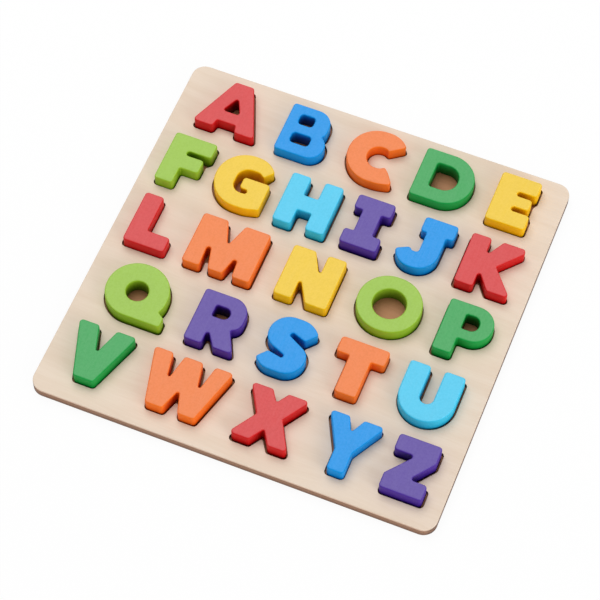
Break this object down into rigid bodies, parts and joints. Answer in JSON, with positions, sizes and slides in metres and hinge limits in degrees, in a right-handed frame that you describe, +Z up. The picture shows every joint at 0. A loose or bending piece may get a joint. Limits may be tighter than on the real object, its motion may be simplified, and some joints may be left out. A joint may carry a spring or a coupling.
{
  "type": "alphabet puzzle",
  "caption": "Square plywood tray with shaped pockets, each holding a thick painted wooden capital letter that lifts out, for a child to match and put back.",
  "frame": {"origin": "middle of the tray's underside", "axes": "+X along the rows from the first letter of a row to its last, +Y up the page towards row one, +Z up, the way the letters lift out"},
  "size_m": [0.3, 0.3, 0.0175],
  "materials": {
    "plywood_face": "bare sanded plywood, pale birch, fine straight grain",
    "plywood_back": "bare plywood, slightly darker",
    "paint_red": "wood painted red, satin",
    "paint_orange": "wood painted orange, satin",
    "paint_yellow": "wood painted yellow, satin",
    "paint_lime": "wood painted light green, satin",
    "paint_green": "wood painted green, satin",
    "paint_cyan": "wood painted sky blue, satin",
    "paint_blue": "wood painted blue, satin",
    "paint_purple": "wood painted purple, satin"
  },
  "bodies": {
    "tray": {"back_panel": "plywood_back", "face_panel": "plywood_face"},
    "letter_a": {"letter_a": "paint_red"},
    "letter_b": {"letter_b": "paint_blue"},
    "letter_c": {"letter_c": "paint_orange"},
    "letter_d": {"letter_d": "paint_green"},
    "letter_e": {"letter_e": "paint_yellow"},
    "letter_f": {"letter_f": "paint_lime"},
    "letter_g": {"letter_g": "paint_yellow"},
    "letter_h": {"letter_h": "paint_cyan"},
    "letter_i": {"letter_i": "paint_purple"},
    "letter_j": {"letter_j": "paint_blue"},
    "letter_k": {"letter_k": "paint_red"},
    "letter_l": {"letter_l": "paint_red"},
    "letter_m": {"letter_m": "paint_orange"},
    "letter_n": {"letter_n": "paint_yellow"},
    "letter_o": {"letter_o": "paint_lime"},
    "letter_p": {"letter_p": "paint_green"},
    "letter_q": {"letter_q": "paint_lime"},
    "letter_r": {"letter_r": "paint_purple"},
    "letter_s": {"letter_s": "paint_blue"},
    "letter_t": {"letter_t": "paint_orange"},
    "letter_u": {"letter_u": "paint_cyan"},
    "letter_v": {"letter_v": "paint_green"},
    "letter_w": {"letter_w": "paint_orange"},
    "letter_x": {"letter_x": "paint_red"},
    "letter_y": {"letter_y": "paint_blue"},
    "letter_z": {"letter_z": "paint_purple"}
  },
  "joints": [
    {"name": "lift_a", "type": "slide", "parent": "tray", "child": "letter_a", "axis": [0, 0, 1], "range_m": [0, 0.03]},
    {"name": "lift_b", "type": "slide", "parent": "tray", "child": "letter_b", "axis": [0, 0, 1], "range_m": [0, 0.03]},
    {"name": "lift_c", "type": "slide", "parent": "tray", "child": "letter_c", "axis": [0, 0, 1], "range_m": [0, 0.03]},
    {"name": "lift_d", "type": "slide", "parent": "tray", "child": "letter_d", "axis": [0, 0, 1], "range_m": [0, 0.03]},
    {"name": "lift_e", "type": "slide", "parent": "tray", "child": "letter_e", "axis": [0, 0, 1], "range_m": [0, 0.03]},
    {"name": "lift_f", "type": "slide", "parent": "tray", "child": "letter_f", "axis": [0, 0, 1], "range_m": [0, 0.03]},
    {"name": "lift_g", "type": "slide", "parent": "tray", "child": "letter_g", "axis": [0, 0, 1], "range_m": [0, 0.03]},
    {"name": "lift_h", "type": "slide", "parent": "tray", "child": "letter_h", "axis": [0, 0, 1], "range_m": [0, 0.03]},
    {"name": "lift_i", "type": "slide", "parent": "tray", "child": "letter_i", "axis": [0, 0, 1], "range_m": [0, 0.03]},
    {"name": "lift_j", "type": "slide", "parent": "tray", "child": "letter_j", "axis": [0, 0, 1], "range_m": [0, 0.03]},
    {"name": "lift_k", "type": "slide", "parent": "tray", "child": "letter_k", "axis": [0, 0, 1], "range_m": [0, 0.03]},
    {"name": "lift_l", "type": "slide", "parent": "tray", "child": "letter_l", "axis": [0, 0, 1], "range_m": [0, 0.03]},
    {"name": "lift_m", "type": "slide", "parent": "tray", "child": "letter_m", "axis": [0, 0, 1], "range_m": [0, 0.03]},
    {"name": "lift_n", "type": "slide", "parent": "tray", "child": "letter_n", "axis": [0, 0, 1], "range_m": [0, 0.03]},
    {"name": "lift_o", "type": "slide", "parent": "tray", "child": "letter_o", "axis": [0, 0, 1], "range_m": [0, 0.03]},
    {"name": "lift_p", "type": "slide", "parent": "tray", "child": "letter_p", "axis": [0, 0, 1], "range_m": [0, 0.03]},
    {"name": "lift_q", "type": "slide", "parent": "tray", "child": "letter_q", "axis": [0, 0, 1], "range_m": [0, 0.03]},
    {"name": "lift_r", "type": "slide", "parent": "tray", "child": "letter_r", "axis": [0, 0, 1], "range_m": [0, 0.03]},
    {"name": "lift_s", "type": "slide", "parent": "tray", "child": "letter_s", "axis": [0, 0, 1], "range_m": [0, 0.03]},
    {"name": "lift_t", "type": "slide", "parent": "tray", "child": "letter_t", "axis": [0, 0, 1], "range_m": [0, 0.03]},
    {"name": "lift_u", "type": "slide", "parent": "tray", "child": "letter_u", "axis": [0, 0, 1], "range_m": [0, 0.03]},
    {"name": "lift_v", "type": "slide", "parent": "tray", "child": "letter_v", "axis": [0, 0, 1], "range_m": [0, 0.03]},
    {"name": "lift_w", "type": "slide", "parent": "tray", "child": "letter_w", "axis": [0, 0, 1], "range_m": [0, 0.03]},
    {"name": "lift_x", "type": "slide", "parent": "tray", "child": "letter_x", "axis": [0, 0, 1], "range_m": [0, 0.03]},
    {"name": "lift_y", "type": "slide", "parent": "tray", "child": "letter_y", "axis": [0, 0, 1], "range_m": [0, 0.03]},
    {"name": "lift_z", "type": "slide", "parent": "tray", "child": "letter_z", "axis": [0, 0, 1], "range_m": [0, 0.03]}
  ]
}
